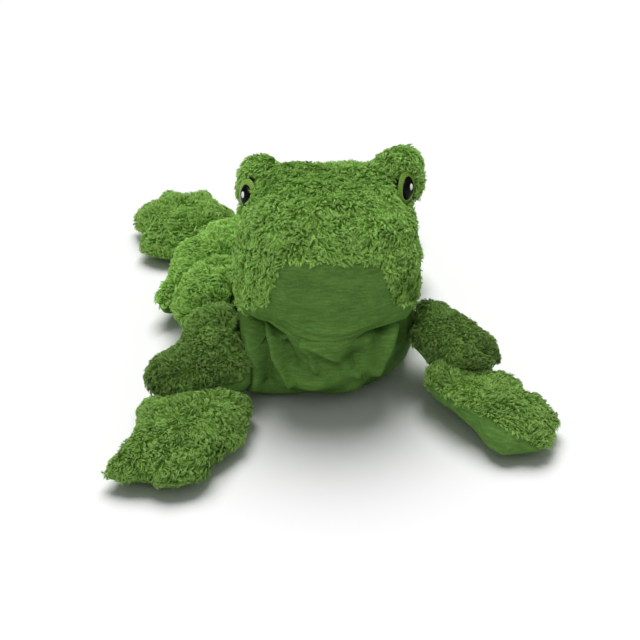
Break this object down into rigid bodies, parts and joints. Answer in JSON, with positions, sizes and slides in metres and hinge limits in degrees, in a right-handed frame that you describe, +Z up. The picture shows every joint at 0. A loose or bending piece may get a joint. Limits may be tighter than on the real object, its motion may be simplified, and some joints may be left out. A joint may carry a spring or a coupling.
{
  "type": "plush frog",
  "caption": "Plush frog lying on its belly, fur above and velour below, with a jointed head, arms, hands and folded hind legs.",
  "frame": {"origin": "on the belly's flat rest face, under the back of the head", "axes": "the face looks along -Y, the frog's own right is -X, and +Z is up"},
  "size_m": [0.2563, 0.3613, 0.1202],
  "materials": {
    "fur": "short curly clumped pile, light tips over dark roots",
    "velour": "smooth short nap with fine lines",
    "filling": "loose fibre stuffing",
    "iris": "satin embroidery",
    "pupil": "glossy black",
    "glint": "white stitches"
  },
  "bodies": {
    "torso": {"torso_fur_back": "fur", "torso_velour_belly": "velour", "torso_filling": "filling"},
    "head": {"head_fur_hood": "fur", "head_velour_chin": "velour", "head_filling": "filling", "right_eye_mound": "fur", "right_eye_iris": "iris", "right_eye_pupil": "pupil", "right_eye_glint": "glint", "left_eye_mound": "fur", "left_eye_iris": "iris", "left_eye_pupil": "pupil", "left_eye_glint": "glint"},
    "right_arm": {"right_arm_fur_sleeve": "fur", "right_arm_velour_underside": "velour", "right_arm_filling": "filling"},
    "right_hand": {"right_hand_fur_top": "fur", "right_hand_velour_palm": "velour", "right_hand_filling": "filling"},
    "right_thigh": {"right_thigh_fur": "fur", "right_thigh_velour": "velour", "right_thigh_filling": "filling"},
    "right_shank": {"right_shank_fur": "fur", "right_shank_velour": "velour", "right_shank_filling": "filling"},
    "right_foot": {"right_foot_fur_top": "fur", "right_foot_velour_sole": "velour", "right_foot_filling": "filling"},
    "left_arm": {"left_arm_fur_sleeve": "fur", "left_arm_velour_underside": "velour", "left_arm_filling": "filling"},
    "left_hand": {"left_hand_fur_top": "fur", "left_hand_velour_palm": "velour", "left_hand_filling": "filling"},
    "left_thigh": {"left_thigh_fur": "fur", "left_thigh_velour": "velour", "left_thigh_filling": "filling"},
    "left_shank": {"left_shank_fur": "fur", "left_shank_velour": "velour", "left_shank_filling": "filling"},
    "left_foot": {"left_foot_fur_top": "fur", "left_foot_velour_sole": "velour", "left_foot_filling": "filling"}
  },
  "joints": [
    {"name": "head_nod", "type": "hinge", "parent": "torso", "child": "head", "pos_m": [0, 0.033, 0.049], "axis": [-1, 0, 0], "range_deg": [0, 15]},
    {"name": "right_arm_lift", "type": "hinge", "parent": "torso", "child": "right_arm", "pos_m": [-0.0533, -0.00143, 0.046], "axis": [-0.7547, 0.6561, 0], "range_deg": [0, 25]},
    {"name": "right_hand_turn", "type": "hinge", "parent": "right_arm", "child": "right_hand", "pos_m": [-0.07956, -0.05444, -0.0005], "axis": [0, 0, 1], "range_deg": [-10, 10]},
    {"name": "right_thigh_lift", "type": "hinge", "parent": "torso", "child": "right_thigh", "pos_m": [-0.025, 0.03, 0.046], "axis": [0, 1, 0], "range_deg": [0, 6]},
    {"name": "right_shank_lift", "type": "hinge", "parent": "right_thigh", "child": "right_shank", "pos_m": [-0.06429, 0.05599, 0.036], "axis": [0.9744, 0.225, 0], "range_deg": [0, 15]},
    {"name": "right_foot_lift", "type": "hinge", "parent": "right_shank", "child": "right_foot", "pos_m": [-0.08032, 0.11367, 0.026], "axis": [0.9511, 0.309, 0], "range_deg": [0, 25]},
    {"name": "left_arm_lift", "type": "hinge", "parent": "torso", "child": "left_arm", "pos_m": [0.0473, -0.00143, 0.046], "axis": [-0.766, -0.6428, 0], "range_deg": [0, 25]},
    {"name": "left_hand_turn", "type": "hinge", "parent": "left_arm", "child": "left_hand", "pos_m": [0.07879, -0.0415, -0.0005], "axis": [0, 0, 1], "range_deg": [-10, 10]},
    {"name": "left_thigh_lift", "type": "hinge", "parent": "torso", "child": "left_thigh", "pos_m": [0.01567, 0.06829, 0.046], "axis": [0.8988, -0.4384, 0], "range_deg": [0, 6]},
    {"name": "left_shank_lift", "type": "hinge", "parent": "left_thigh", "child": "left_shank", "pos_m": [0.01325, 0.12627, 0.036], "axis": [0.8829, 0.4695, 0], "range_deg": [0, 15]},
    {"name": "left_foot_lift", "type": "hinge", "parent": "left_shank", "child": "left_foot", "pos_m": [0.00126, 0.16837, 0.026], "axis": [0.9976, 0.0698, 0], "range_deg": [0, 25]}
  ]
}
